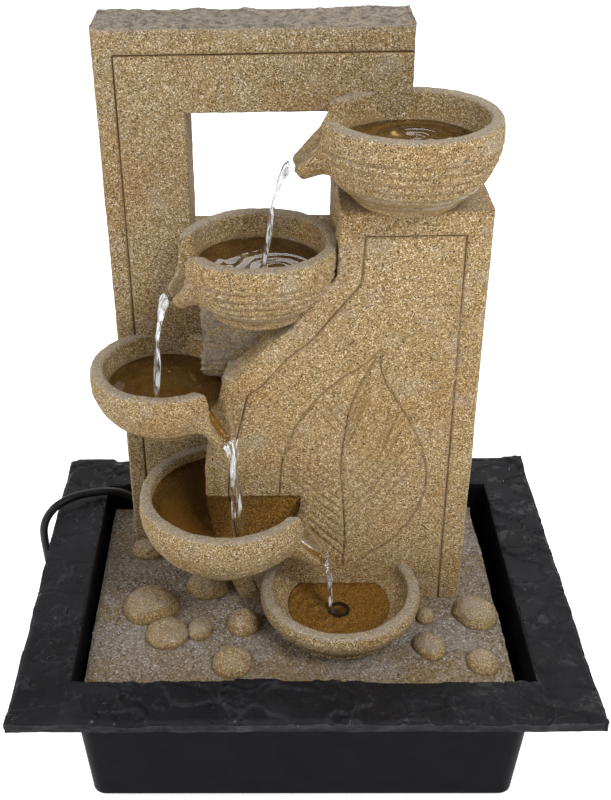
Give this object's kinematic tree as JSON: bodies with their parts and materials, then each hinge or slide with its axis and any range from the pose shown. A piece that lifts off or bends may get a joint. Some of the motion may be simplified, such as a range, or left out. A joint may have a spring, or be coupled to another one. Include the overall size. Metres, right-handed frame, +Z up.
{
  "type": "tabletop water fountain",
  "caption": "Tabletop water fountain: slate-look basin, sandstone tower with a window and a cascade of round spouted bowls, pump below.",
  "frame": {"origin": "on the table under the middle of the basin", "axes": "+X right, +Y back, +Z up"},
  "size_m": [0.3166, 0.3443, 0.4],
  "materials": {
    "slate": "matt charcoal with a relief of split slate on the rim, satin black on the tub",
    "sandstone": "cast sandstone with dark, cream and grey grains",
    "sand_deck": "greyer cast sand with a fine grain",
    "black_rubber": "soft matt rubber",
    "tube_plastic": "clear flexible vinyl",
    "pump_plastic": "fine satin moulding",
    "core_steel": "laminated core steel",
    "winding": "varnished copper winding",
    "shaft_ceramic": "polished ceramic",
    "impeller_plastic": "smooth moulded nylon",
    "cord_rubber": "satin black sheath",
    "tie_plastic": "black twist tie",
    "blade_brass": "bright brass",
    "water": "clear water"
  },
  "bodies": {
    "fountain": {"basin": "slate", "rubber_feet": "black_rubber", "deck": "sand_deck", "deck_supports": "sandstone", "pebbles": "sand_deck", "back_wall": "sandstone", "front_panel": "sandstone", "rock_shelf": "sandstone", "bowl_1": "sandstone", "bowl_2": "sandstone", "bowl_3": "sandstone", "bowl_4": "sandstone", "bowl_5": "sandstone", "drain_grommet": "black_rubber", "bowl_inlet": "tube_plastic", "riser_tube": "tube_plastic", "pump_housing": "pump_plastic", "pump_rear_cap": "pump_plastic", "pump_stator": "core_steel", "pump_coil": "winding", "impeller_shaft": "shaft_ceramic", "suction_cups": "black_rubber", "cord_gland": "black_rubber", "cord_run": "cord_rubber", "cord_coil": "cord_rubber", "cord_tie": "tie_plastic", "cord_tail": "cord_rubber", "plug_body": "cord_rubber", "plug_blades": "blade_brass"},
    "impeller": {"impeller": "impeller_plastic"},
    "pump_cover": {"pump_cover": "pump_plastic"},
    "flow_dial": {"flow_dial": "impeller_plastic"},
    "rear_door": {"access_door": "sandstone"}
  },
  "joints": [
    {"name": "impeller_spin", "type": "hinge", "parent": "fountain", "child": "impeller", "pos_m": [0.054, 0.012, 0.026], "axis": [1, 0, 0], "continuous": true},
    {"name": "cover_pull", "type": "slide", "parent": "fountain", "child": "pump_cover", "axis": [1, 0, 0], "range_m": [0, 0.025]},
    {"name": "dial_turn", "type": "hinge", "parent": "pump_cover", "child": "flow_dial", "pos_m": [0.068, 0.012, 0.026], "axis": [1, 0, 0], "range_deg": [0, 90]},
    {"name": "door_pull", "type": "slide", "parent": "fountain", "child": "rear_door", "axis": [0, 1, 0], "range_m": [0, 0.04]}
  ]
}
